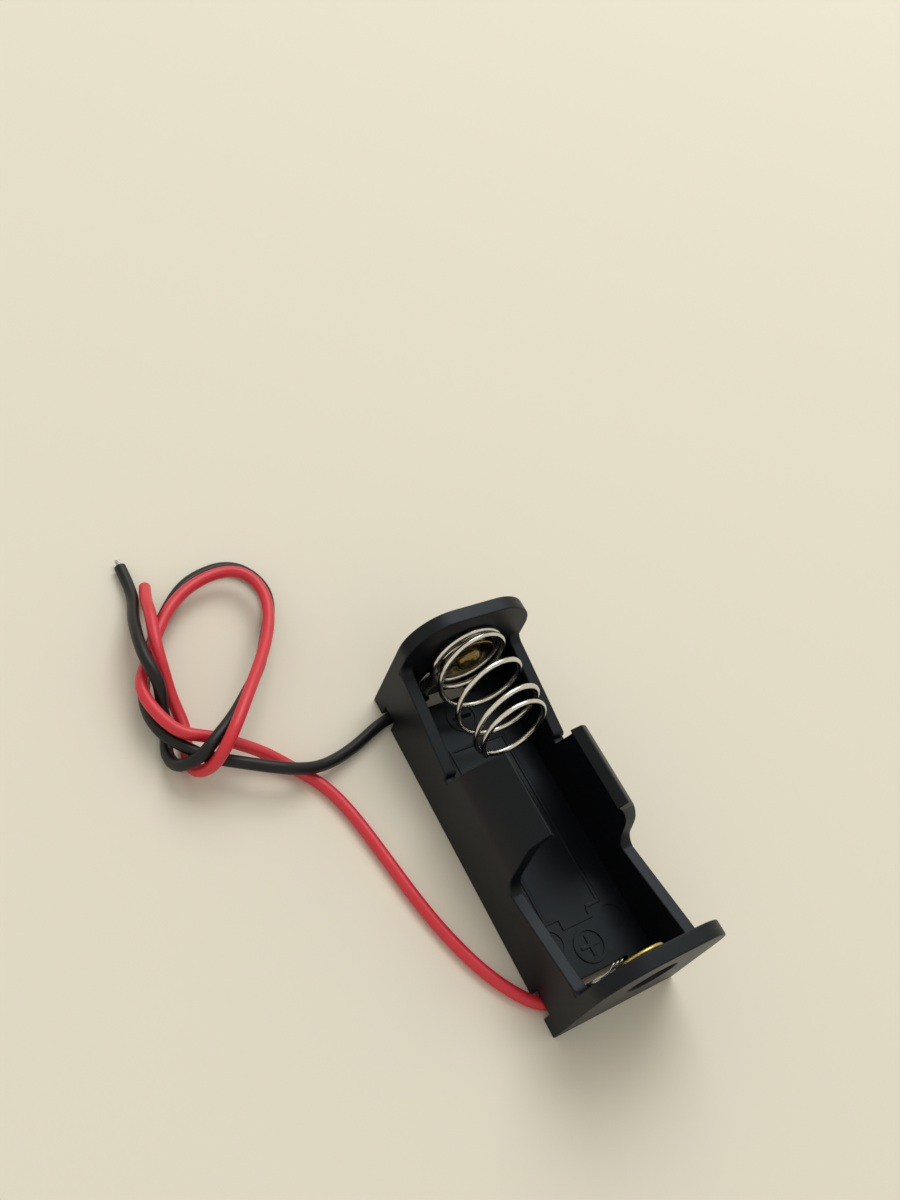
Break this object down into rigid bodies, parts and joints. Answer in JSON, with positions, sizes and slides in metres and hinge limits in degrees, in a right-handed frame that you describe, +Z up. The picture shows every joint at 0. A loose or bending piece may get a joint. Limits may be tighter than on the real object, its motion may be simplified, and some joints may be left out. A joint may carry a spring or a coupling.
{
  "type": "cylindrical cell holder",
  "caption": "Open-topped holder for one small cylindrical cell, with retaining arms, a spring contact, a flat contact and two soldered wire leads tied in a loose knot.",
  "frame": {"origin": "middle of the housing's flat underside", "axes": "+X along the cell towards its positive end, +Z up out of the cell bay; the leads leave on the -Y side"},
  "size_m": [0.065, 0.0402, 0.0154],
  "materials": {
    "housing_plastic": "satin black ABS moulding",
    "spring_wire": "nickel-plated spring steel wire",
    "eyelet_brass": "bright drawn brass",
    "black_insulation": "satin black PVC insulation",
    "red_insulation": "satin red PVC insulation",
    "tinned_copper": "tinned copper strands"
  },
  "bodies": {
    "holder": {"housing": "housing_plastic", "negative_eyelet": "eyelet_brass", "positive_eyelet": "eyelet_brass", "black_lead": "black_insulation", "red_lead": "red_insulation", "black_lead_strands": "tinned_copper", "red_lead_strands": "tinned_copper", "black_lead_tip": "tinned_copper", "red_lead_tip": "tinned_copper"},
    "spring_coil": {"contact_spring": "spring_wire"}
  },
  "joints": [
    {"name": "spring_compression", "type": "slide", "parent": "holder", "child": "spring_coil", "axis": [-1, 0, 0], "range_m": [0, 0.0055], "stiffness_N_per_m": 700, "deforming": ["contact_spring"]}
  ]
}
